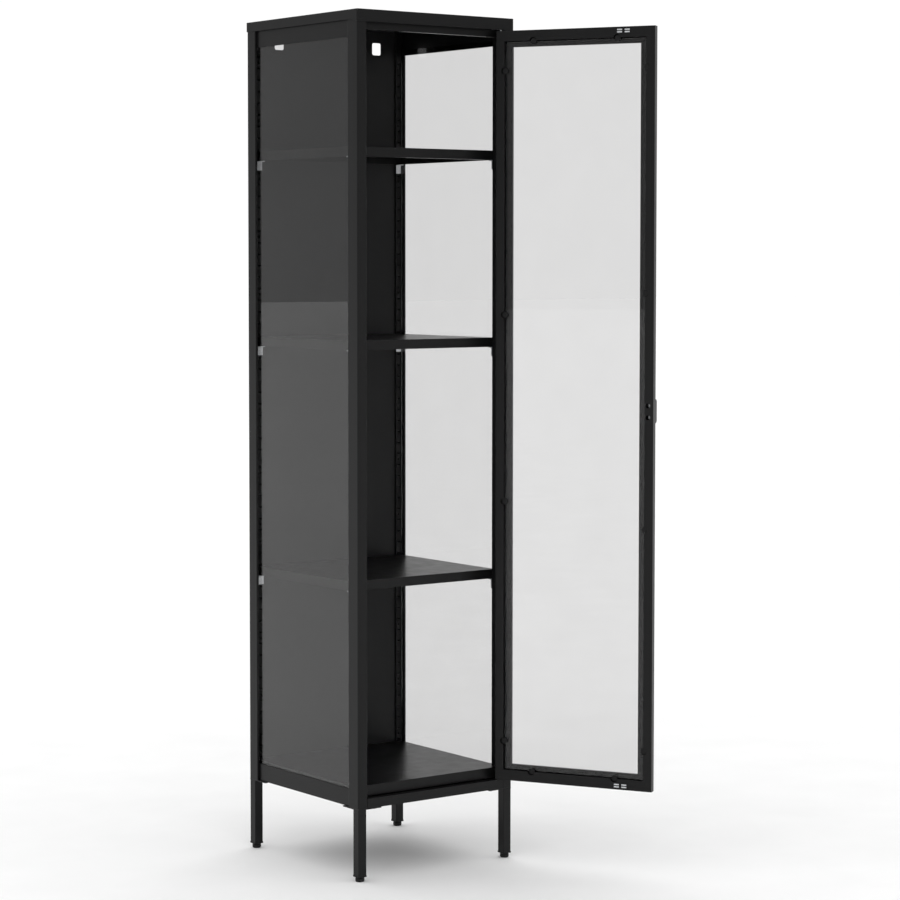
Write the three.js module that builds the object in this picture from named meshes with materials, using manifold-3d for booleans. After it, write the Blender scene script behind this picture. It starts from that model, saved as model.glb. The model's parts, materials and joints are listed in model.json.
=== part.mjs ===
// Tower display case: a folded-steel cabinet on four legs with glass sides, three hung
// shelves and a framed glass door that turns on two pins at its front right edge.
//
// Millimetres, +Z up. Inside the model, x runs right and y runs back from the top panel's
// front left corner, and z starts at the floor. The last lines move the whole case so that
// its origin is the bottom centre of its box with the door open.

import * as THREE from 'three';
import { mergeVertices } from 'three/addons/utils/BufferGeometryUtils.js';
import Module from 'manifold-3d';

const wasm = await Module();
wasm.setup();

// ---- Driving dimensions -------------------------------------------------------------

const CASE = { width: 405, depth: 420, height: 1800 };
const SHEET = 1.2;
const CLEARANCE = 0.3;

const BODY_INSET = 1.5;
const BODY_BOTTOM = 153;
const CORNER_RADIUS = 3;
const LID = { frontFlange: 25, sideFlange: 20 };

const POST = { face: 22.7, recess: 5, innerRadius: 1.6 };
const FRONT_POST = { side: 36.5, box: 41.5, slotFaceStart: 10.2 };
const REAR_POST = { side: 31.5, box: 23.5, slotFaceStart: 6.5 };

const SLOT = { pitch: 25, first: 201.5, count: 62, width: 7.5, height: 3.6, inset: 16.6 };
const EXTRA_HOLE = { width: 4.3, height: 6, every: 5, startIndex: 0.5 };

const RAIL = { top: 35, bottom: 37, flange: 16, setback: 5.3, overlap: 5 };
const SIDE_GLASS = { thickness: 3, outer: 8.3, front: 30, rearGap: 27, bottom: 178, top: 1757 };

const BACK = { setback: 20, flange: 14.6 };
const WALL_SLOT = { width: 23.5, height: 27, radius: 4, bottom: 1744, fromSide: 74 };

const FRONT_RAIL = { height: 20, ledge: 17 };
const FLOOR = { top: 197, front: 21, apronBottom: 175, flange: 30 };
const DOOR_STOP = { front: 20.8, bottom: 1761, lip: 11, topFlange: 16 };

const SHELF = { front: 48, rearGap: 27, side: 12, height: 20, lip: 12 };
const SHELVES = [
  { name: 'top_shelf', slot: 52 },
  { name: 'middle_shelf', slot: 36 },
  { name: 'bottom_shelf', slot: 16 },
];
const CLIP = { width: 12.7, height: 20, tongue: 10, plate: 1.5, hookWidth: 6.4, hookDrop: 4 };

const LEG = { size: 20, wall: 1.5, radius: 1.5, bottom: 10, inset: 2.1, plate: 2, plateSize: 58 };
const LEG_PLUG = { height: 12, hole: 4.4 };
const LEG_SCREW = { radius: 2.6, near: 13, far: 49 };
const FOOT = { radius: 9.5, height: 8.6, chamfer: 1.6, stud: 4, studTop: 34 };

const DOOR = { gap: 1.5, thickness: 18, bottom: 175.2, top: 1771.8, outerRadius: 3, innerRadius: 1.5 };
const DOOR_BAND = { side: 19, end: 22, sight: 34, lip: 6 };
const DOOR_GLASS = { thickness: 4, edgeGap: 1.5 };
const PIVOT = { fromEdge: 5.1, fromFace: 3.85, openDegrees: 120 };
const HINGE_PIN = { radius: 2, hole: 2.4, reach: 16 };
const HINGE_PLATE = { thickness: 2.5, inward: 14, outward: 5.6, forward: 2.3, tab: 16 };

const RETAINER = { radius: 7, pastStep: 0.4, belowFace: 4, bevel: 1, notchGap: 0.6 };
const RETAINER_REACH = { across: 93.4, end: 714, hingeSide: 199, freeSide: 246 };
const CATCH = { length: 28.5, height: 8.4, depth: 11, proud: 0.7, fromFreeEdge: 68.9, fromEnd: 8.4 };
const CATCH_GROOVE = { betweenPoles: 5.6, betweenBars: 2.2, depth: 2 };
const HANDLE = { height: 50, base: 14, blade: 20.4, plate: 2, chamfer: 4, fromFreeEdge: 12 };
const HANDLE_SCREW = { spacing: 24.5, shank: 2, head: 4, headHeight: 2.6, access: 5.3, hole: 2.3 };

const ARC_STEPS = 4;
const ROUND_SIDES = 20;
const SMALL_ROUND_SIDES = 12;

// ---- Materials ----------------------------------------------------------------------

function paint(color, roughness, metalness) {
  return () => new THREE.MeshStandardMaterial({ color, roughness, metalness });
}

const blackSteel = paint(0x202122, 0.55, 0.35);
const zincSteel = paint(0xb9bcc0, 0.35, 0.9);
const blackPlastic = paint(0x101011, 0.5, 0);

function clearGlass() {
  return new THREE.MeshStandardMaterial({
    color: 0xdfe9e6,
    roughness: 0.05,
    metalness: 0,
    transparent: true,
    opacity: 0.25,
  });
}

// ---- Solids -------------------------------------------------------------------------

function solid(geometry) {
  const bare = geometry.clone();
  bare.deleteAttribute('normal');
  bare.deleteAttribute('uv');
  const merged = mergeVertices(bare, 1e-4);
  return new wasm.Manifold(
    new wasm.Mesh({
      numProp: 3,
      vertProperties: new Float32Array(merged.attributes.position.array),
      triVerts: new Uint32Array(merged.index.array),
    }),
  );
}

function geometryOf(shape) {
  const mesh = shape.getMesh();
  const geometry = new THREE.BufferGeometry();
  geometry.setAttribute('position', new THREE.BufferAttribute(new Float32Array(mesh.vertProperties), 3));
  geometry.setIndex(new THREE.BufferAttribute(new Uint32Array(mesh.triVerts), 1));
  geometry.computeVertexNormals();
  return geometry;
}

function block(x0, x1, y0, y1, z0, z1) {
  const box = new THREE.BoxGeometry(x1 - x0, y1 - y0, z1 - z0);
  box.translate((x0 + x1) / 2, (y0 + y1) / 2, (z0 + z1) / 2);
  return solid(box);
}

function upright(outline, z0, z1) {
  const prism = new THREE.ExtrudeGeometry(outline, {
    depth: z1 - z0,
    bevelEnabled: false,
    curveSegments: ARC_STEPS,
  });
  prism.translate(0, 0, z0);
  return solid(prism);
}

function turned(profile, sides) {
  const points = profile.map(([r, z]) => new THREE.Vector2(r, z));
  const lathe = new THREE.LatheGeometry(points, sides);
  lathe.rotateX(Math.PI / 2);
  return solid(lathe);
}

function rod(x, y, z0, z1, radius, sides = SMALL_ROUND_SIDES) {
  const cylinder = new THREE.CylinderGeometry(radius, radius, z1 - z0, sides);
  cylinder.rotateX(Math.PI / 2);
  cylinder.translate(x, y, (z0 + z1) / 2);
  return solid(cylinder);
}

function rodAlongY(x, z, y0, y1, radius, sides = SMALL_ROUND_SIDES) {
  const cylinder = new THREE.CylinderGeometry(radius, radius, y1 - y0, sides);
  cylinder.translate(x, (y0 + y1) / 2, z);
  return solid(cylinder);
}

function joined(pieces) {
  return pieces.reduce((whole, piece) => whole.add(piece));
}

// Outline through [x, y, radius] corners, each corner rounded by its own radius.
function roundedOutline(corners) {
  const shape = new THREE.Shape();
  corners.forEach(([x, y, radius], i) => {
    const corner = new THREE.Vector2(x, y);
    const before = new THREE.Vector2(...corners[(i + corners.length - 1) % corners.length]);
    const after = new THREE.Vector2(...corners[(i + 1) % corners.length]);
    const start = before.sub(corner).setLength(radius).add(corner);
    const end = after.sub(corner).setLength(radius).add(corner);
    if (i === 0) {
      shape.moveTo(start.x, start.y);
    } else {
      shape.lineTo(start.x, start.y);
    }
    if (radius > 0) {
      for (let step = 1; step <= ARC_STEPS; step += 1) {
        const t = step / ARC_STEPS;
        const point = arcPoint(start, corner, end, t);
        shape.lineTo(point.x, point.y);
      }
    }
  });
  shape.closePath();
  return shape;
}

// Point at parameter t on the quarter circle that starts at start, ends at end and is
// tangent to both legs of a square corner.
function arcPoint(start, corner, end, t) {
  const centre = start.clone().add(end).sub(corner);
  const from = start.clone().sub(centre);
  const to = end.clone().sub(centre);
  const angle = (t * Math.PI) / 2;
  return centre.add(from.multiplyScalar(Math.cos(angle))).add(to.multiplyScalar(Math.sin(angle)));
}

function roundedRectangle(x0, x1, y0, y1, radius) {
  return roundedOutline([
    [x0, y0, radius],
    [x1, y0, radius],
    [x1, y1, radius],
    [x0, y1, radius],
  ]);
}

// Copies of a solid mirrored into the four plan corners, from the one at the front left.
function inCorner(shape, right, rear) {
  const turnedRight = right ? shape.scale([-1, 1, 1]).translate([CASE.width, 0, 0]) : shape;
  return rear ? turnedRight.scale([1, -1, 1]).translate([0, CASE.depth, 0]) : turnedRight;
}

const CORNERS = [
  { name: 'front_left', right: false, rear: false },
  { name: 'front_right', right: true, rear: false },
  { name: 'rear_left', right: false, rear: true },
  { name: 'rear_right', right: true, rear: true },
];

// ---- Cabinet body -------------------------------------------------------------------

const POST_INNER_EDGE = BODY_INSET + POST.face;
const POST_TOP = CASE.height - SHEET - CLEARANCE;
const BETWEEN_POSTS = [POST_INNER_EDGE + CLEARANCE, CASE.width - POST_INNER_EDGE - CLEARANCE];
const BETWEEN_SLOT_FACES = [
  BODY_INSET + FRONT_POST.box + CLEARANCE,
  CASE.depth - BODY_INSET - REAR_POST.box - CLEARANCE,
];
const BACK_FRONT = CASE.depth - BACK.setback;
const GLASS_INNER = SIDE_GLASS.outer + SIDE_GLASS.thickness;

const DOOR_WIDTH = CASE.width - 2 * POST_INNER_EDGE - 2 * DOOR.gap;
const PIVOT_X = CASE.width - POST_INNER_EDGE - DOOR.gap - PIVOT.fromEdge;
const PIVOT_Y = BODY_INSET + PIVOT.fromFace;

// A shallow lid. Its front flange is deeper than the other three.
function topPanel() {
  const bottom = CASE.height - LID.frontFlange;
  const outer = upright(roundedRectangle(0, CASE.width, 0, CASE.depth, CORNER_RADIUS), bottom, CASE.height);
  const hollow = upright(
    roundedRectangle(SHEET, CASE.width - SHEET, SHEET, CASE.depth - SHEET, CORNER_RADIUS - SHEET),
    bottom - 1,
    CASE.height - SHEET,
  );
  const sideBottom = CASE.height - LID.sideFlange;
  const y0 = 2 * CORNER_RADIUS;
  const shallowSides = block(-1, CASE.width + 1, y0, CASE.depth + 1, bottom - 1, sideBottom);
  return outer.subtract(hollow).subtract(shallowSides);
}

// Folded post with a rounded outer corner, a lip that the side glass sits behind and an
// inner face with shelf slots. Drawn for the front left, in case coordinates.
function post({ side, box, slotFaceStart }) {
  const { face, recess, innerRadius } = POST;
  const outline = roundedOutline([
    [recess, side, 0],
    [0, side, innerRadius],
    [0, 0, CORNER_RADIUS],
    [face, 0, innerRadius],
    [face, box, innerRadius],
    [slotFaceStart, box, 0],
    [slotFaceStart, box - SHEET, 0],
    [face - SHEET, box - SHEET, innerRadius / 3],
    [face - SHEET, SHEET, innerRadius / 3],
    [SHEET, SHEET, CORNER_RADIUS - SHEET],
    [SHEET, side - SHEET, innerRadius / 3],
    [recess, side - SHEET, 0],
  ]);
  const folded = upright(outline, BODY_BOTTOM, POST_TOP).subtract(slotColumn(box));
  return folded.translate([BODY_INSET, BODY_INSET, 0]);
}

function slotColumn(box) {
  const cuts = [];
  for (let i = 0; i < SLOT.count; i += 1) {
    cuts.push(slotCut(i, SLOT.width, SLOT.height, box));
  }
  for (let i = EXTRA_HOLE.startIndex; i < SLOT.count - 1; i += EXTRA_HOLE.every) {
    cuts.push(slotCut(i, EXTRA_HOLE.width, EXTRA_HOLE.height, box));
  }
  return joined(cuts);
}

function slotCut(index, width, height, box) {
  const x = SLOT.inset;
  const z = SLOT.first + index * SLOT.pitch;
  return block(x - width / 2, x + width / 2, box - 2 * SHEET, box + SHEET, z - height / 2, z + height / 2);
}

// Recessed strip of the side frame, with a flange turned in along its far edge. The lower
// one also has the ledge that the side glass stands on.
function sideRail(isTop) {
  const z0 = isTop ? CASE.height - LID.sideFlange - RAIL.top : BODY_BOTTOM;
  const z1 = isTop ? POST_TOP : BODY_BOTTOM + RAIL.bottom;
  const x0 = BODY_INSET + RAIL.setback;
  const y0 = BODY_INSET + FRONT_POST.side - RAIL.overlap;
  const y1 = CASE.depth - BODY_INSET - REAR_POST.side + RAIL.overlap;
  const [near, far] = BETWEEN_SLOT_FACES;
  const web = block(x0, x0 + SHEET, y0, y1, z0, z1);
  const flangeZ = isTop ? z1 - SHEET : z0;
  const flange = block(x0, x0 + RAIL.flange, near, Math.min(far, y1), flangeZ, flangeZ + SHEET);
  if (isTop) {
    return web.add(flange);
  }
  const ledgeTop = SIDE_GLASS.bottom - CLEARANCE;
  const ledge = block(x0, GLASS_INNER, near, Math.min(far, y1), ledgeTop - SHEET, ledgeTop);
  return web.add(flange).add(ledge);
}

function sideGlass() {
  const { outer, front, rearGap, bottom, top } = SIDE_GLASS;
  return block(outer, GLASS_INNER, front, CASE.depth - rearGap, bottom, top);
}

// Back sheet between the rear posts, with two windows for the wall fixings and its side
// flanges turned to the rear.
function backPanel() {
  const [x0, x1] = BETWEEN_POSTS;
  const y = BACK_FRONT;
  let panel = joined([
    block(x0, x1, y, y + SHEET, BODY_BOTTOM, POST_TOP),
    block(x0, x0 + SHEET, y, y + SHEET + BACK.flange, BODY_BOTTOM, POST_TOP),
    block(x1 - SHEET, x1, y, y + SHEET + BACK.flange, BODY_BOTTOM, POST_TOP),
  ]);
  for (const centre of [WALL_SLOT.fromSide, CASE.width - WALL_SLOT.fromSide]) {
    const window = roundedRectangle(
      centre - WALL_SLOT.width / 2,
      centre + WALL_SLOT.width / 2,
      WALL_SLOT.bottom,
      WALL_SLOT.bottom + WALL_SLOT.height,
      WALL_SLOT.radius,
    );
    const cutter = upright(window, -y - 2 * SHEET, -y + SHEET).rotate([90, 0, 0]);
    panel = panel.subtract(cutter);
  }
  return panel;
}

// Bottom tray. Its upturned front is the rail below the door, folded back as a ledge.
function basePan() {
  const [x0, x1] = BETWEEN_POSTS;
  const y0 = BODY_INSET;
  const y1 = BACK_FRONT - CLEARANCE;
  const ledgeTop = BODY_BOTTOM + FRONT_RAIL.height;
  const ledge = block(x0, x1, y0, y0 + FRONT_RAIL.ledge, ledgeTop - SHEET, ledgeTop);
  const pinHole = rod(PIVOT_X, PIVOT_Y, ledgeTop - 2 * SHEET, ledgeTop + SHEET, HINGE_PIN.hole);
  return joined([
    block(x0, x1, y0, y1, BODY_BOTTOM, BODY_BOTTOM + SHEET),
    block(x0, x1, y0, y0 + SHEET, BODY_BOTTOM, ledgeTop),
    block(x0, x1, y1 - SHEET, y1, BODY_BOTTOM, ledgeTop - SHEET),
    ledge.subtract(pinHole),
  ]);
}

// Floor of the case: a tray turned upside down, notched round the four posts, whose front
// apron is also the lower door stop.
function floorPanel() {
  const { top, front, apronBottom, flange } = FLOOR;
  const [x0, x1] = BETWEEN_POSTS;
  const wide0 = GLASS_INNER + CLEARANCE;
  const wide1 = CASE.width - wide0;
  const [wideFront, wideRear] = BETWEEN_SLOT_FACES;
  const rear = BACK_FRONT - CLEARANCE;
  const under = top - SHEET;
  return joined([
    block(x0, x1, front, rear, under, top),
    block(wide0, wide1, wideFront, wideRear, under, top),
    block(x0, x1, front, front + SHEET, apronBottom, top),
    block(x0, x1, rear - SHEET, rear, top - flange / 2, top),
    block(wide0, wide0 + SHEET, wideFront, wideRear, top - flange, top),
    block(wide1 - SHEET, wide1, wideFront, wideRear, top - flange, top),
  ]);
}

// Angle under the top panel that the closed door and its upper magnets meet.
function doorStop() {
  const [x0, x1] = BETWEEN_POSTS;
  const { front, bottom, lip, topFlange } = DOOR_STOP;
  return joined([
    block(x0, x1, front, front + SHEET, bottom, POST_TOP),
    block(x0, x1, front, front + lip, bottom, bottom + SHEET),
    block(x0, x1, front, front + topFlange, POST_TOP - SHEET, POST_TOP),
  ]);
}

// ---- Shelves and clips --------------------------------------------------------------

function slotHeight(index) {
  return SLOT.first + index * SLOT.pitch;
}

function shelfBottom(index) {
  return slotHeight(index) + CLIP.plate / 2 + CLEARANCE;
}

// Shelf with all four edges turned down and a stiffening lip folded in under the front.
function shelf(index) {
  const { front, rearGap, side, height, lip } = SHELF;
  const rear = CASE.depth - rearGap;
  const z0 = shelfBottom(index);
  const z1 = z0 + height;
  const x0 = side;
  const x1 = CASE.width - side;
  const tray = upright(roundedRectangle(x0, x1, front, rear, CORNER_RADIUS / 2), z0, z1);
  const hollow = block(x0 + SHEET, x1 - SHEET, front + SHEET, rear - SHEET, z0 - 1, z1 - SHEET);
  const hem = block(x0 + 2 * lip, x1 - 2 * lip, front, front + lip, z0, z0 + SHEET);
  return tray.subtract(hollow).add(hem);
}

// Bent clip: a plate on the post's slotted face, a tongue under the shelf and a hook that
// drops behind the slot. Drawn for the front left.
function shelfClip(index, box) {
  const { width, height, tongue, plate, hookWidth, hookDrop } = CLIP;
  const x = BODY_INSET + SLOT.inset;
  const face = BODY_INSET + box + CLEARANCE;
  const behind = face - SHEET - 2 * CLEARANCE;
  const top = slotHeight(index) + plate / 2;
  const under = top - plate;
  return joined([
    block(x - width / 2, x + width / 2, face, face + plate, top - height, top),
    block(x - width / 2, x + width / 2, face, face + plate + tongue, under, top),
    block(x - hookWidth / 2, x + hookWidth / 2, behind - plate, face + plate, under, top),
    block(x - hookWidth / 2, x + hookWidth / 2, behind - plate, behind, under - hookDrop, top),
  ]);
}

// ---- Legs, feet and hinges ----------------------------------------------------------

// Square tube welded to a corner plate, closed below by a threaded plug.
function leg() {
  const { size, wall, radius, bottom, inset, plate, plateSize } = LEG;
  const plateTop = BODY_BOTTOM - CLEARANCE;
  const plateBottom = plateTop - plate;
  const far = inset + size;
  const centre = inset + size / 2;
  const tube = upright(roundedRectangle(inset, far, inset, far, radius), bottom, plateTop);
  const near = inset + wall;
  const bore = block(near, far - wall, near, far - wall, bottom + LEG_PLUG.height, plateBottom);
  const thread = rod(centre, centre, bottom - 1, bottom + LEG_PLUG.height + 1, LEG_PLUG.hole);
  const reach = inset + plateSize;
  const corner = new THREE.Shape([
    new THREE.Vector2(inset, inset),
    new THREE.Vector2(reach, inset),
    new THREE.Vector2(reach, far),
    new THREE.Vector2(far, reach),
    new THREE.Vector2(inset, reach),
  ]);
  let base = upright(corner, plateBottom, plateTop);
  for (const [x, y] of [[LEG_SCREW.far, LEG_SCREW.near], [LEG_SCREW.near, LEG_SCREW.far]]) {
    base = base.subtract(rod(x, y, plateBottom - 1, plateTop + 1, LEG_SCREW.radius, 8));
  }
  return tube.add(base).subtract(bore).subtract(thread);
}

function foot() {
  const { radius, height, chamfer, stud, studTop } = FOOT;
  const centre = LEG.inset + LEG.size / 2;
  return turned(
    [
      [0, 0],
      [radius - chamfer, 0],
      [radius, chamfer],
      [radius, height - chamfer / 2],
      [radius - chamfer / 2, height],
      [stud, height],
      [stud, studTop],
      [0, studTop],
    ],
    ROUND_SIDES,
  ).translate([centre, centre, 0]);
}

// Hinge plate with the pin that the door turns on. The upper one is an angle fixed to the
// door stop, its pin pointing down. The lower one lies under the front rail's ledge.
function hinge(isUpper) {
  const { thickness, inward, outward, forward, tab } = HINGE_PLATE;
  const { radius, reach } = HINGE_PIN;
  const ledgeBottom = BODY_BOTTOM + FRONT_RAIL.height - SHEET;
  const z0 = isUpper ? CASE.height - LID.frontFlange + 1 : ledgeBottom - CLEARANCE - thickness;
  const z1 = z0 + thickness;
  const x0 = PIVOT_X - inward;
  const x1 = PIVOT_X + outward;
  const y0 = PIVOT_Y - forward;
  const y1 = isUpper ? DOOR_STOP.front - CLEARANCE : BODY_INSET + FRONT_RAIL.ledge;
  const plate = block(x0, x1, y0, y1, z0, z1);
  if (isUpper) {
    const upturned = block(x0, x1, y1 - thickness, y1, z0, z0 + tab);
    return joined([plate, upturned, rod(PIVOT_X, PIVOT_Y, DOOR.top - reach, z1, radius)]);
  }
  return plate.add(rod(PIVOT_X, PIVOT_Y, z0, DOOR.bottom + reach, radius));
}

// ---- Door, drawn closed with the pivot as its origin ---------------------------------

const DOOR_SPAN = { hinge: PIVOT.fromEdge, free: PIVOT.fromEdge - DOOR_WIDTH };
const DOOR_FACE = { outer: -PIVOT.fromFace, inner: DOOR.thickness - PIVOT.fromFace };
const DOOR_MIDDLE = { x: DOOR_SPAN.free + DOOR_WIDTH / 2, z: (DOOR.top + DOOR.bottom) / 2 };
const BAND_INNER = insideDoor(DOOR_BAND.side, DOOR_BAND.end);
const SIGHT = insideDoor(DOOR_BAND.sight, DOOR_BAND.sight);
const GLASS_BACK = DOOR_FACE.outer + DOOR_BAND.lip + CLEARANCE;
const GLASS_FRONT = GLASS_BACK + DOOR_GLASS.thickness;

// Rectangle in the door's plane, set in from its sides and from its top and bottom.
function insideDoor(side, end) {
  return {
    x0: DOOR_SPAN.free + side,
    x1: DOOR_SPAN.hinge - side,
    z0: DOOR.bottom + end,
    z1: DOOR.top - end,
  };
}

// That rectangle as a block from y0 to y1, grown by a margin on every edge.
function doorBlock({ x0, x1, z0, z1 }, margin, y0, y1) {
  return block(x0 - margin, x1 + margin, y0, y1, z0 - margin, z1 + margin);
}

function doorPlan(inset) {
  const outer = Math.max(DOOR.outerRadius - inset, 0.4);
  const inner = Math.max(DOOR.innerRadius - inset, 0.4);
  return roundedOutline([
    [DOOR_SPAN.free + inset, DOOR_FACE.outer + inset, outer],
    [DOOR_SPAN.hinge - inset, DOOR_FACE.outer + inset, outer],
    [DOOR_SPAN.hinge - inset, DOOR_FACE.inner - inset, inner],
    [DOOR_SPAN.free + inset, DOOR_FACE.inner - inset, inner],
  ]);
}

function handleScrewHeights() {
  const half = HANDLE_SCREW.spacing / 2;
  return [DOOR_MIDDLE.z - half, DOOR_MIDDLE.z + half];
}

function catchHeights() {
  return { top: DOOR.top - CATCH.fromEnd, bottom: DOOR.bottom + CATCH.fromEnd };
}

// Hollow band all round the door. The outer sheet runs on inwards as a flange, and its
// edge is turned in as the lip that the glass lies against.
function doorFrame() {
  const { outer, inner } = DOOR_FACE;
  const shell = upright(doorPlan(0), DOOR.bottom, DOOR.top);
  const recess = doorBlock(BAND_INNER, 0, outer + SHEET, inner + 1);
  const band = doorBlock(BAND_INNER, SHEET, outer - 1, inner + 1);
  const cavity = upright(doorPlan(SHEET), DOOR.bottom + SHEET, DOOR.top - SHEET).subtract(band);
  const lip = doorBlock(SIGHT, SHEET, outer, outer + DOOR_BAND.lip);
  const sight = doorBlock(SIGHT, 0, outer - 1, inner + 1);
  let frame = shell.subtract(recess).subtract(cavity).add(lip).subtract(sight);
  frame = frame.subtract(rod(0, 0, DOOR.bottom - 1, DOOR.bottom + 2 * SHEET, HINGE_PIN.hole));
  frame = frame.subtract(rod(0, 0, DOOR.top - 2 * SHEET, DOOR.top + 1, HINGE_PIN.hole));
  const screwX = DOOR_SPAN.free + HANDLE.fromFreeEdge;
  for (const z of handleScrewHeights()) {
    frame = frame.subtract(rodAlongY(screwX, z, inner - 2 * SHEET, inner + 1, HANDLE_SCREW.access));
    frame = frame.subtract(rodAlongY(screwX, z, outer - 1, outer + 2 * SHEET, HANDLE_SCREW.hole, 8));
  }
  for (const z of Object.values(catchHeights())) {
    frame = frame.subtract(catchBlock(z, CLEARANCE, inner - 2 * SHEET, inner + 1));
  }
  const notch = RETAINER.radius + RETAINER.notchGap;
  for (const { x, z } of retainerPlaces()) {
    frame = frame.subtract(rodAlongY(x, z, GLASS_FRONT, inner + 1, notch, ROUND_SIDES));
  }
  return frame;
}

function catchBlock(z, margin, y0, y1) {
  const x = DOOR_SPAN.free + CATCH.fromFreeEdge;
  const halfLength = CATCH.length / 2 + margin;
  const halfHeight = CATCH.height / 2 + margin;
  return block(x - halfLength, x + halfLength, y0, y1, z - halfHeight, z + halfHeight);
}

// Magnetic catch let into the band, its poles just proud of the inner face. Two grooves
// leave two poles of two bars each.
function magneticCatch(z) {
  const { length, height, depth, proud, fromFreeEdge } = CATCH;
  const { betweenPoles, betweenBars, depth: grooveDepth } = CATCH_GROOVE;
  const x = DOOR_SPAN.free + fromFreeEdge;
  const front = DOOR_FACE.inner + proud;
  const y0 = front - grooveDepth;
  const y1 = front + grooveDepth;
  const housing = catchBlock(z, 0, front - depth, front);
  const poleGroove = block(x - betweenPoles, x + betweenPoles, y0, y1, z - height, z + height);
  const barGroove = block(x - length, x + length, y0, y1, z - betweenBars, z + betweenBars);
  return housing.subtract(poleGroove).subtract(barGroove);
}

function doorGlass() {
  return doorBlock(BAND_INNER, -DOOR_GLASS.edgeGap, GLASS_BACK, GLASS_FRONT);
}

// Round retainer bearing on the glass, in a notch across the band's step. Drawn at x = 0,
// z = 0, with its axis along y.
function retainer() {
  const { radius, belowFace, bevel } = RETAINER;
  const back = GLASS_FRONT + CLEARANCE;
  const thickness = DOOR_FACE.inner - belowFace - back;
  return turned(
    [
      [0, 0],
      [radius, 0],
      [radius, thickness - bevel],
      [radius - bevel, thickness],
      [0, thickness],
    ],
    ROUND_SIDES,
  )
    .rotate([-90, 0, 0])
    .translate([0, back, 0]);
}

function retainerPlaces() {
  const { x0, x1, z0, z1 } = insideDoor(
    DOOR_BAND.side + RETAINER.pastStep,
    DOOR_BAND.end + RETAINER.pastStep,
  );
  const { across, end, hingeSide, freeSide } = RETAINER_REACH;
  const places = [];
  for (const way of [-1, 1]) {
    places.push({ x: DOOR_MIDDLE.x + way * across, z: z0 });
    places.push({ x: DOOR_MIDDLE.x + way * across, z: z1 });
    for (const reach of [end, hingeSide]) {
      places.push({ x: x1, z: DOOR_MIDDLE.z + way * reach });
    }
    for (const reach of [end, freeSide]) {
      places.push({ x: x0, z: DOOR_MIDDLE.z + way * reach });
    }
  }
  return places;
}

// Angle tab on the outer face by the free edge, its grip blade chamfered at both ends.
function handle() {
  const { height, base, blade, plate, chamfer, fromFreeEdge } = HANDLE;
  const face = DOOR_FACE.outer - CLEARANCE;
  const screwX = DOOR_SPAN.free + fromFreeEdge;
  const x0 = screwX - base / 2;
  const z0 = DOOR_MIDDLE.z - height / 2;
  const z1 = DOOR_MIDDLE.z + height / 2;
  const side = new THREE.Shape([
    new THREE.Vector2(0, z0),
    new THREE.Vector2(blade - chamfer, z0),
    new THREE.Vector2(blade, z0 + chamfer),
    new THREE.Vector2(blade, z1 - chamfer),
    new THREE.Vector2(blade - chamfer, z1),
    new THREE.Vector2(0, z1),
  ]);
  const standing = upright(side, 0, plate).rotate([90, 0, 0]).rotate([0, 0, -90]);
  const grip = standing.translate([x0 + plate, face, 0]);
  let tab = block(x0, x0 + base, face - plate, face, z0, z1).add(grip);
  for (const z of handleScrewHeights()) {
    tab = tab.subtract(rodAlongY(screwX, z, face - plate - 1, face + 1, HANDLE_SCREW.hole, 8));
  }
  return tab;
}

function handleScrew(z) {
  const { shank, head, headHeight } = HANDLE_SCREW;
  const seat = DOOR_FACE.outer + SHEET + CLEARANCE;
  const x = DOOR_SPAN.free + HANDLE.fromFreeEdge;
  const tip = DOOR_FACE.outer - CLEARANCE - HANDLE.plate;
  const body = rodAlongY(x, z, tip, seat + headHeight, shank, 8);
  return body.add(rodAlongY(x, z, seat, seat + headHeight, head));
}

// ---- Assembly -----------------------------------------------------------------------

function addPiece(group, name, shape, material) {
  const mesh = new THREE.Mesh(geometryOf(shape), material());
  mesh.name = name;
  group.add(mesh);
}

function buildBody(group) {
  addPiece(group, 'top_panel', topPanel(), blackSteel);
  addPiece(group, 'back_panel', backPanel(), blackSteel);
  addPiece(group, 'base_pan', basePan(), blackSteel);
  addPiece(group, 'floor_panel', floorPanel(), blackSteel);
  addPiece(group, 'door_stop', doorStop(), blackSteel);
  for (const { name, right, rear } of CORNERS) {
    const section = rear ? REAR_POST : FRONT_POST;
    addPiece(group, `post_${name}`, inCorner(post(section), right, rear), blackSteel);
    addPiece(group, `leg_${name}`, inCorner(leg(), right, rear), blackSteel);
    addPiece(group, `foot_${name}`, inCorner(foot(), right, rear), blackPlastic);
  }
  for (const [name, right] of [['left', false], ['right', true]]) {
    addPiece(group, `${name}_top_rail`, inCorner(sideRail(true), right, false), blackSteel);
    addPiece(group, `${name}_bottom_rail`, inCorner(sideRail(false), right, false), blackSteel);
    addPiece(group, `${name}_glass`, inCorner(sideGlass(), right, false), clearGlass);
  }
  addPiece(group, 'upper_hinge', hinge(true), zincSteel);
  addPiece(group, 'lower_hinge', hinge(false), zincSteel);
}

function buildShelves(group) {
  for (const { name, slot } of SHELVES) {
    addPiece(group, name, shelf(slot), blackSteel);
    for (const { name: corner, right, rear } of CORNERS) {
      const box = rear ? REAR_POST.box : FRONT_POST.box;
      addPiece(group, `${name}_clip_${corner}`, inCorner(shelfClip(slot, box), right, rear), zincSteel);
    }
  }
}

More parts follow.
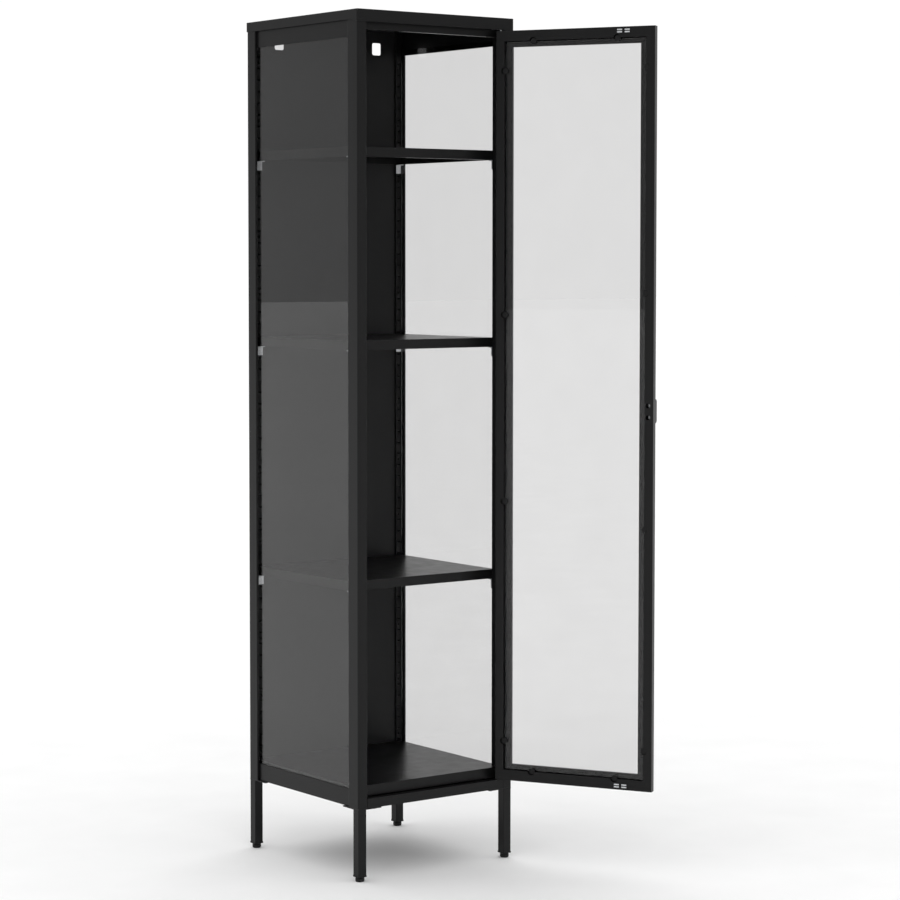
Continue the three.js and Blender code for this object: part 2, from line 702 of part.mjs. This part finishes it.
function buildDoor() {
  const door = new THREE.Group();
  addPiece(door, 'door_frame', doorFrame(), blackSteel);
  addPiece(door, 'door_glass', doorGlass(), clearGlass);
  retainerPlaces().forEach(({ x, z }, i) => {
    addPiece(door, `glass_retainer_${i + 1}`, retainer().translate([x, 0, z]), blackPlastic);
  });
  for (const [name, z] of Object.entries(catchHeights())) {
    addPiece(door, `magnetic_catch_${name}`, magneticCatch(z), blackPlastic);
  }
  addPiece(door, 'handle', handle(), blackSteel);
  handleScrewHeights().forEach((z, i) => {
    addPiece(door, `handle_screw_${i + 1}`, handleScrew(z), zincSteel);
  });
  door.position.set(PIVOT_X, PIVOT_Y, 0);
  door.rotation.z = THREE.MathUtils.degToRad(PIVOT.openDegrees);
  return door;
}

const displayCase = new THREE.Group();
buildBody(displayCase);
buildShelves(displayCase);
displayCase.add(buildDoor());

displayCase.updateMatrixWorld(true);
const middle = new THREE.Box3().setFromObject(displayCase, true).getCenter(new THREE.Vector3());
displayCase.position.set(-middle.x, -middle.y, 0);

export default displayCase;
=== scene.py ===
"""Tower display case in Blender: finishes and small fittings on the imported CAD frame.

Metres, +Z up. The frame's own objects are kept and given procedural finishes and softened
edges. Screws, leg collars and the poles of the magnetic catches are added as meshes.
"""

import json
import math

import bmesh
import bpy
from mathutils import Matrix, Vector


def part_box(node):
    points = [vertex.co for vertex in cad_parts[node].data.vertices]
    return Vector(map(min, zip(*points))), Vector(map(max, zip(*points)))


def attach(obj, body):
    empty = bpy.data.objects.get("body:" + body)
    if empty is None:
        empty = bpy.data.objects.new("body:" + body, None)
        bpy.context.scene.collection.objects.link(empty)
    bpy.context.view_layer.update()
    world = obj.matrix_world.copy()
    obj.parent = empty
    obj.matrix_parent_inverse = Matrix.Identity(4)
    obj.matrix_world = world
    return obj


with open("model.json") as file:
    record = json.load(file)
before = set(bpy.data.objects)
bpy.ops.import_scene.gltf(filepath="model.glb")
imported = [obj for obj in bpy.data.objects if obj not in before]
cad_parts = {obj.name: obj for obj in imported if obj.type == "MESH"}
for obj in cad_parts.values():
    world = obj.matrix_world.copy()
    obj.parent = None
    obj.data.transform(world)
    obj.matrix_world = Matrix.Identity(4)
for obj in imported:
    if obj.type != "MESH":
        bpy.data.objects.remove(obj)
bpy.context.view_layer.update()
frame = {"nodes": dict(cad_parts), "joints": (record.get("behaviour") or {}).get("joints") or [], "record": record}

MM = 0.001

# The camera looks a little down. Its place in plan is measured from the top panel's front
# left corner and its height from the floor. Its turn and pitch are in degrees.
# The lens and its sensor are in millimetres, the shifts are shares of the picture's width, and
# nothing beyond the reach, in metres, is drawn.
CAMERA = {"right": -3.0896, "back": -4.4317, "height": 1.2933, "turn": -36.238, "pitch": 3.288}
LENS = {"focal": 105.56, "sensor": 36.0, "shift_x": 0.0332, "shift_y": -0.0450, "reach": 100}

# Angles are in degrees: CAD edges sharper than EDGE_ANGLE are rounded, and added pieces are
# shaded smooth across edges up to SMOOTH_ANGLE.
EDGE_WIDTH = 0.25 * MM
EDGE_ANGLE = 50
EDGE_SEGMENTS = 2
WELD_DISTANCE = 0.002 * MM
SMOOTH_ANGLE = 35

# Half of the floor's side, wide enough that its far edge lies close to the horizon.
FLOOR_HALF = 60.0

# The sun is a wide soft light from overhead, a little to the left, so the floor is lit evenly.
SUN = {"from": (-0.15, -0.10, 1.0), "spread": 110, "strength": 1.65}

# The surround is brightest behind the case and falls off smoothly to the rest of the room.
# It starts to brighten, and is full, at these cosines of the angle to its brightest direction.
SURROUND = {
    "brightest": (0.5822, 0.8130, 0.0),
    "room": 0.55,
    "behind": 1.02,
    "starts": 0.30,
    "full": 0.90,
}
WHITE = (1, 1, 1, 1)

LEG_TUBE = 20 * MM
LEG_TUBE_RADIUS = 1.5 * MM
COLLAR = {"height": 3.6 * MM, "wall": 0.8 * MM, "gap": 0.05 * MM}
LEG_PLATE_THICKNESS = 2 * MM
# Each plate has two screws, one near each side of the case and far from the other.
PLATE_SCREW = {"radius": 4.6 * MM, "height": 2.8 * MM, "near": 10.9 * MM, "far": 46.9 * MM}
# The socket's waviness is a share of its radius.
SOCKET = {"lobes": 6, "wave": 0.14}

# Each catch has two poles side by side, and each pole shows two steel bars.
POLE_GAP = 5.6 * MM
BAR_GAP = 2.2 * MM
BAR_MARGIN = 0.4 * MM
BAR = {"sunk": 0.6 * MM, "proud": 0.15 * MM, "bevel": 0.2 * MM, "bevel_segments": 3}

# Sockets of Blender's colour mix node, which share their names and so go by number.
MIX_AMOUNT, MIX_FIRST, MIX_SECOND, MIX_RESULT = 0, 6, 7, 2


# ---- Materials ------------------------------------------------------------------------


class Finish:
    """A Principled material with helpers for noise, ranges and bump."""

    def __init__(self, name, **sockets):
        self.material = bpy.data.materials.new(name)
        self.material.use_nodes = True
        self.tree = self.material.node_tree
        self.shader = self.tree.nodes["Principled BSDF"]
        self.place = self.tree.nodes.new("ShaderNodeTexCoord").outputs["Object"]
        for socket, value in sockets.items():
            self.shader.inputs[socket.replace("_", " ")].default_value = value

    def node(self, kind, inputs=None, **settings):
        """A new node with its settings made and each input linked or given its value."""
        made = self.tree.nodes.new(kind)
        for key, value in settings.items():
            setattr(made, key, value)
        for socket, value in (inputs or {}).items():
            if isinstance(value, bpy.types.NodeSocket):
                self.tree.links.new(value, made.inputs[socket])
            else:
                made.inputs[socket].default_value = value
        return made

    def noise(self, per_metre, detail, roughness=0.5):
        """Noise fixed to the piece. Most of it lies between 0.3 and 0.7."""
        inputs = {
            "Vector": self.place,
            "Scale": per_metre,
            "Detail": detail,
            "Roughness": roughness,
        }
        return self.node("ShaderNodeTexNoise", inputs).outputs["Fac"]

    def ranged(self, value, low, high, from_low=0.3, from_high=0.7):
        """The value carried from its own range to low and high."""
        inputs = {
            "Value": value,
            "From Min": from_low,
            "From Max": from_high,
            "To Min": low,
            "To Max": high,
        }
        return self.node("ShaderNodeMapRange", inputs).outputs["Result"]

    def times(self, a, b):
        return self.node("ShaderNodeMath", {0: a, 1: b}, operation="MULTIPLY").outputs[0]

    def mixed(self, amount, first, second):
        inputs = {MIX_AMOUNT: amount, MIX_FIRST: first, MIX_SECOND: second}
        return self.node("ShaderNodeMix", inputs, data_type="RGBA").outputs[MIX_RESULT]

    def edge_wear_and_highlight(self, radius):
        """How close the surface is to an outside or inside edge, 0 to 1. Masks edge wear and a painted edge
        highlight.
        """
        rounded = self.node("ShaderNodeBevel", {"Radius": radius}, samples=4).outputs["Normal"]
        flat = self.node("ShaderNodeNewGeometry").outputs["Normal"]
        dot = self.node("ShaderNodeVectorMath", {0: rounded, 1: flat}, operation="DOT_PRODUCT")
        return self.ranged(dot.outputs["Value"], low=1.0, high=0.0, from_low=0.80, from_high=0.995)

    def bump(self, height, strength, distance, below=None):
        inputs = {"Height": height, "Strength": strength, "Distance": distance}
        if below is not None:
            inputs["Normal"] = below
        return self.node("ShaderNodeBump", inputs).outputs["Normal"]

    def set(self, socket, source):
        self.tree.links.new(source, self.shader.inputs[socket])


def grey(level):
    """A grey with a trace of blue."""
    return (level, level, level * 1.03, 1)


def powder_coat(name="black_powder_coat", body=0.0066):
    """Black polyester powder on steel: fine orange peel, and a little paler at its edges, partly wear and partly a
    painted highlight.
    """
    finish = Finish(name, Metallic=0.0, IOR=1.45, Specular_IOR_Level=0.22)
    dark, pale = grey(body * 0.94), grey(body * 1.06)
    speck, worn_and_highlit = grey(body * 2), grey(body * 5)
    peel = finish.noise(per_metre=700, detail=2.0)
    grain = finish.noise(per_metre=2600, detail=1.0)

    patches = finish.ranged(finish.noise(per_metre=9, detail=3.0), low=0, high=1)
    specks = finish.ranged(grain, low=0.0, high=0.2, from_low=0.45, from_high=0.75)
    speckled = finish.mixed(specks, finish.mixed(patches, dark, pale), speck)
    uneven = finish.ranged(finish.noise(per_metre=260, detail=3.0), low=0.1, high=0.7)
    # Edges are painted paler: partly rubbed coat, partly a painted highlight where rounded edges catch the light.
    wear_and_highlight = finish.times(finish.edge_wear_and_highlight(radius=0.9 * MM), uneven)
    finish.set("Base Color", finish.mixed(wear_and_highlight, speckled, worn_and_highlit))

    smears = finish.noise(per_metre=38, detail=4.0)
    finish.set("Roughness", finish.ranged(smears, low=0.28, high=0.34))
    coarse = finish.bump(peel, strength=0.08, distance=0.04 * MM)
    fine = finish.bump(grain, strength=0.05, distance=0.02 * MM, below=coarse)
    finish.set("Normal", fine)
    return finish.material


def zinc_plate():
    """Bright zinc plating, slightly cloudy, with a fine grain."""
    finish = Finish("bright_zinc_plate", Metallic=1.0)
    dull, clean = (0.56, 0.58, 0.60, 1), (0.74, 0.75, 0.76, 1)
    cloud = finish.ranged(finish.noise(per_metre=420, detail=4.0), low=0, high=1)
    finish.set("Base Color", finish.mixed(cloud, dull, clean))
    smears = finish.noise(per_metre=900, detail=3.0)
    finish.set("Roughness", finish.ranged(smears, low=0.24, high=0.42))
    grain = finish.noise(per_metre=2600, detail=2.0)
    finish.set("Normal", finish.bump(grain, strength=0.15, distance=0.02 * MM))
    return finish.material


def moulded_plastic():
    """Black moulded plastic with a fine spark-eroded grain."""
    finish = Finish("black_moulded_plastic", Metallic=0.0, IOR=1.49, Specular_IOR_Level=0.25)
    shade = finish.ranged(finish.noise(per_metre=300, detail=3.0), low=0, high=1)
    finish.set("Base Color", finish.mixed(shade, grey(0.004), grey(0.008)))
    smears = finish.noise(per_metre=700, detail=2.0)
    finish.set("Roughness", finish.ranged(smears, low=0.42, high=0.60))
    grain = finish.node("ShaderNodeTexVoronoi", {"Vector": finish.place, "Scale": 2400.0})
    finish.set("Normal", finish.bump(grain.outputs["Distance"], strength=0.18, distance=0.03 * MM))
    return finish.material


def clear_glass():
    """Float glass with a neutral grey tint and a trace of handling haze."""
    finish = Finish("clear_float_glass", Metallic=0.0, IOR=1.37, Transmission_Weight=1.0)
    clear, hazy = (0.724, 0.722, 0.722, 1), (0.709, 0.707, 0.707, 1)
    haze = finish.noise(per_metre=14, detail=5.0, roughness=0.6)
    finish.set("Base Color", finish.mixed(finish.ranged(haze, low=0, high=1), clear, hazy))
    blur = finish.ranged(haze, low=0.0, high=0.004, from_low=0.5, from_high=0.9)
    finish.set("Roughness", blur)
    return finish.material


def pale_floor():
    """Matt studio floor, almost even, with a trace of mottling."""
    finish = Finish("pale_studio_floor", Metallic=0.0)
    darker, paler = (0.90, 0.90, 0.90, 1), (0.93, 0.93, 0.93, 1)
    mottle = finish.ranged(finish.noise(per_metre=5, detail=4.0), low=0, high=1)
    finish.set("Base Color", finish.mixed(mottle, darker, paler))
    scuffs = finish.noise(per_metre=60, detail=2.0)
    finish.set("Roughness", finish.ranged(scuffs, low=0.75, high=0.9))
    grain = finish.noise(per_metre=800, detail=2.0)
    finish.set("Normal", finish.bump(grain, strength=0.05, distance=0.1 * MM))
    return finish.material


FINISHES = {
    "black_steel": powder_coat(),
    "zinc_steel": zinc_plate(),
    "black_plastic": moulded_plastic(),
    "clear_glass": clear_glass(),
}
# Nodes whose coat is painted paler than the rest, as painted light for the dim inside of the case.
PAINTED_LIGHT_FINISHES = {"back_panel": powder_coat("back_panel_painted_light_coat", body=0.017)}


# ---- Meshes ---------------------------------------------------------------------------


def add_piece(name, build, body, slot):
    """A new mesh piece made by build(bm), finished by its record slot, riding on a body."""
    mesh = bpy.data.meshes.new(name)
    bm = bmesh.new()
    build(bm)
    bmesh.ops.recalc_face_normals(bm, faces=bm.faces)
    bm.to_mesh(mesh)
    bm.free()
    mesh.materials.append(FINISHES[slot])
    piece = bpy.data.objects.new(name, mesh)
    bpy.context.scene.collection.objects.link(piece)
    smooth_to(piece, SMOOTH_ANGLE)
    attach(piece, body)
    return piece


def smooth_to(piece, degrees):
    """Smooth shading except across edges sharper than this."""
    for face in piece.data.polygons:
        face.use_smooth = True
    bm = bmesh.new()
    bm.from_mesh(piece.data)
    for edge in bm.edges:
        if len(edge.link_faces) == 2 and edge.calc_face_angle(0) > math.radians(degrees):
            edge.smooth = False
    bm.to_mesh(piece.data)
    bm.free()


def bridge(bm, rings, closed=False):
    """Quads between rings of equal length; a one-point ring is a pole."""
    pairs = list(zip(rings, rings[1:]))
    if closed:
        pairs.append((rings[-1], rings[0]))
    for low, high in pairs:
        count = max(len(low), len(high))
        for i in range(count):
            corners = [low[i % len(low)], low[(i + 1) % count % len(low)]]
            corners += [high[(i + 1) % count % len(high)], high[i % len(high)]]
            bm.faces.new(list(dict.fromkeys(corners)))


def screw_head(place, radius, height, sides=36):
    """Domed head with a six-lobed socket; place takes its axis from +Z and its seat from z 0."""
    wave = SOCKET["wave"]
    # Shares of the radius and of the height from the seat over the dome to the socket's
    # floor, each with its waviness.
    profile = [
        (0.00, 0.00, 0), (1.00, 0.00, 0), (1.00, 0.35, 0), (0.95, 0.62, 0),
        (0.82, 0.84, 0), (0.62, 0.97, 0), (0.52, 1.00, 0), (0.46, 0.98, wave),
        (0.42, 0.88, wave), (0.40, 0.35, wave), (0.00, 0.30, 0),
    ]

    def build(bm):
        rings = []
        for out, up, waviness in profile:
            turns = [2 * math.pi * i / sides for i in range(sides if out else 1)]
            points = []
            for turn in turns:
                r = radius * out * (1 + waviness * math.cos(SOCKET["lobes"] * turn))
                points.append(place @ Vector((r * math.cos(turn), r * math.sin(turn), height * up)))
            rings.append([bm.verts.new(p) for p in points])
        bridge(bm, rings)

    return build


def rounded_square(centre, half, radius, z, steps=6):
    """Points round a square with rounded corners."""
    points = []
    for quarter in range(4):
        middle = math.pi / 4 + quarter * math.pi / 2
        cx = centre.x + math.copysign(half - radius, math.cos(middle))
        cy = centre.y + math.copysign(half - radius, math.sin(middle))
        for step in range(steps + 1):
            turn = middle - math.pi / 4 + step * math.pi / 2 / steps
            points.append(Vector((cx + radius * math.cos(turn), cy + radius * math.sin(turn), z)))
    return points


def leg_collar(centre, bottom):
    """Moulded collar round the end of a square leg, chamfered at its top and bottom."""
    inner = LEG_TUBE / 2 + COLLAR["gap"]
    wall, height = COLLAR["wall"], COLLAR["height"]
    chamfer = wall / 2
    section = [
        (0, 0), (chamfer, 0), (wall, chamfer), (wall, height - chamfer),
        (chamfer, height), (0, height),
    ]

    def build(bm):
        rings = []
        for out, up in section:
            loop = rounded_square(centre, inner + out, LEG_TUBE_RADIUS + out, bottom + up)
            rings.append([bm.verts.new(p) for p in loop])
        bridge(bm, rings, closed=True)

    return build


def pole_bar(place, low, high):
    """Rectangular steel bar from low to high in the door's frame, with rounded edges."""

    def build(bm):
        middle, size = (low + high) / 2, high - low
        scaled = place @ Matrix.Translation(middle) @ Matrix.Diagonal((*size, 1))
        bmesh.ops.create_cube(bm, size=1, matrix=scaled)
        bmesh.ops.bevel(
            bm,
            geom=bm.edges[:],
            offset=BAR["bevel"],
            segments=BAR["bevel_segments"],
            profile=0.5,
            affect="EDGES",
        )

    return build


# ---- The frame's own pieces -----------------------------------------------------------


def soften_edges(piece):
    """Rounds the sharp edges of a CAD piece a little, as bent and coated sheet has them."""
    weld = piece.modifiers.new("weld", "WELD")
    weld.merge_threshold = WELD_DISTANCE
    bevel = piece.modifiers.new("soft_edges", "BEVEL")
    bevel.width = EDGE_WIDTH
    bevel.segments = EDGE_SEGMENTS
    bevel.limit_method = "ANGLE"
    bevel.angle_limit = math.radians(EDGE_ANGLE)
    bevel.harden_normals = True


for part in frame["record"]["subparts"]:
    piece = frame["nodes"][part["node"]]
    # The back panel's paler coat is painted light for the dim inside of the case.
    finish = PAINTED_LIGHT_FINISHES.get(part["node"], FINISHES[part["material_slot"]])
    for index in range(len(piece.data.materials)):
        piece.data.materials[index] = finish
    soften_edges(piece)


# ---- Added pieces ---------------------------------------------------------------------


def in_from_corner(leg, along_x, along_y):
    """A point under a leg's plate, measured in from the case's outside corner."""
    low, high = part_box(leg)
    x = low.x + along_x if "left" in leg else high.x - along_x
    y = low.y + along_y if "front" in leg else high.y - along_y
    return Vector((x, y, high.z - LEG_PLATE_THICKNESS))


def facing_down(point):
    """A placing at the point with its own +Z turned to the floor."""
    return Matrix.Translation(point) @ Matrix.Rotation(math.pi, 4, "X")


for leg in sorted(n for n in frame["nodes"] if n.startswith("leg_")):
    corner = leg.removeprefix("leg_")
    near, far = PLATE_SCREW["near"], PLATE_SCREW["far"]
    for index, (along_x, along_y) in enumerate([(far, near), (near, far)], 1):
        place = facing_down(in_from_corner(leg, along_x, along_y))
        head = screw_head(place, PLATE_SCREW["radius"], PLATE_SCREW["height"])
        add_piece(f"plate_screw_{corner}_{index}", head, "cabinet", "zinc_steel")
    centre = in_from_corner(leg, LEG_TUBE / 2, LEG_TUBE / 2)
    collar = leg_collar(centre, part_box(leg)[0].z)
    add_piece(f"leg_collar_{corner}", collar, "cabinet", "black_plastic")


def door_frame_of_reference():
    """Turns the door's own directions, x along it and y through it, into the row frame."""
    hinge = next(j for j in frame["joints"] if j["child"] == "door")
    opened = -math.radians(hinge["range_deg"][0])
    return Matrix.Translation(hinge["pos_m"]) @ Matrix.Rotation(opened, 4, "Z")


def box_in(place, node):
    """Lowest and highest corner of a CAD piece along the axes of place."""
    back = place.inverted()
    points = [back @ v.co for v in frame["nodes"][node].data.vertices]
    low = Vector([min(p[i] for p in points) for i in range(3)])
    high = Vector([max(p[i] for p in points) for i in range(3)])
    return low, high


def beside_gap(gap, low, middle, high):
    """The spans on either side of a gap in the middle, in from both ends by the margin."""
    return [(low + BAR_MARGIN, middle - gap / 2), (middle + gap / 2, high - BAR_MARGIN)]


door_axes = door_frame_of_reference()
for end in ("top", "bottom"):
    low, high = box_in(door_axes, f"magnetic_catch_{end}")
    middle = (low + high) / 2
    spans_x = beside_gap(POLE_GAP, low.x, middle.x, high.x)
    spans_z = beside_gap(BAR_GAP, low.z, middle.z, high.z)
    y0, y1 = high.y - BAR["sunk"], high.y + BAR["proud"]
    bars = [(x, z) for x in spans_x for z in spans_z]
    for index, ((x0, x1), (z0, z1)) in enumerate(bars, 1):
        bar = pole_bar(door_axes, Vector((x0, y0, z0)), Vector((x1, y1, z1)))
        add_piece(f"catch_{end}_pole_bar_{index}", bar, "door", "zinc_steel")


# ---- Floor, light and camera ----------------------------------------------------------


def add_floor():
    """A flat square floor, far wider than the case."""
    mesh = bpy.data.meshes.new("studio_floor")
    half = FLOOR_HALF
    corners = [(-half, -half, 0), (half, -half, 0), (half, half, 0), (-half, half, 0)]
    mesh.from_pydata(corners, [], [(0, 1, 2, 3)])
    mesh.materials.append(pale_floor())
    floor = bpy.data.objects.new("studio_floor", mesh)
    bpy.context.scene.collection.objects.link(floor)


def add_sun():
    """The one lamp, shining from SUN's direction towards the floor."""
    lamp = bpy.data.lights.new("soft_sun", "SUN")
    lamp.energy = SUN["strength"]
    lamp.angle = math.radians(SUN["spread"])
    light = bpy.data.objects.new("soft_sun", lamp)
    light.rotation_euler = Vector(SUN["from"]).to_track_quat("Z", "Y").to_euler()
    bpy.context.scene.collection.objects.link(light)


def add_surround():
    """A white world whose strength rises smoothly towards its brightest direction."""
    world = bpy.data.worlds.new("studio")
    world.use_nodes = True
    nodes, links = world.node_tree.nodes, world.node_tree.links
    direction = nodes.new("ShaderNodeTexCoord")
    toward = nodes.new("ShaderNodeVectorMath")
    toward.operation = "DOT_PRODUCT"
    toward.inputs[1].default_value = SURROUND["brightest"]
    level = nodes.new("ShaderNodeMapRange")
    level.interpolation_type = "SMOOTHSTEP"
    level.inputs["From Min"].default_value = SURROUND["starts"]
    level.inputs["From Max"].default_value = SURROUND["full"]
    level.inputs["To Min"].default_value = SURROUND["room"]
    level.inputs["To Max"].default_value = SURROUND["behind"]
    links.new(direction.outputs["Generated"], toward.inputs[0])
    links.new(toward.outputs["Value"], level.inputs["Value"])
    links.new(level.outputs["Result"], nodes["Background"].inputs["Strength"])
    nodes["Background"].inputs["Color"].default_value = WHITE
    bpy.context.scene.world = world


def add_camera():
    """The camera, placed from the top panel's front left corner."""
    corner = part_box("top_panel")[0]
    camera = bpy.data.cameras.new("camera")
    camera.lens = LENS["focal"]
    camera.sensor_width = LENS["sensor"]
    camera.shift_x, camera.shift_y = LENS["shift_x"], LENS["shift_y"]
    camera.clip_end = LENS["reach"]
    seat = bpy.data.objects.new("camera", camera)
    seat.location = (corner.x + CAMERA["right"], corner.y + CAMERA["back"], CAMERA["height"])
    pitch, turn = math.radians(CAMERA["pitch"]), math.radians(CAMERA["turn"])
    seat.rotation_euler = (math.pi / 2 - pitch, 0, turn)
    bpy.context.scene.collection.objects.link(seat)
    bpy.context.scene.camera = seat


add_floor()
add_sun()
add_surround()
add_camera()
# The Standard transform keeps a white surround white.
bpy.context.scene.view_settings.view_transform = "Standard"
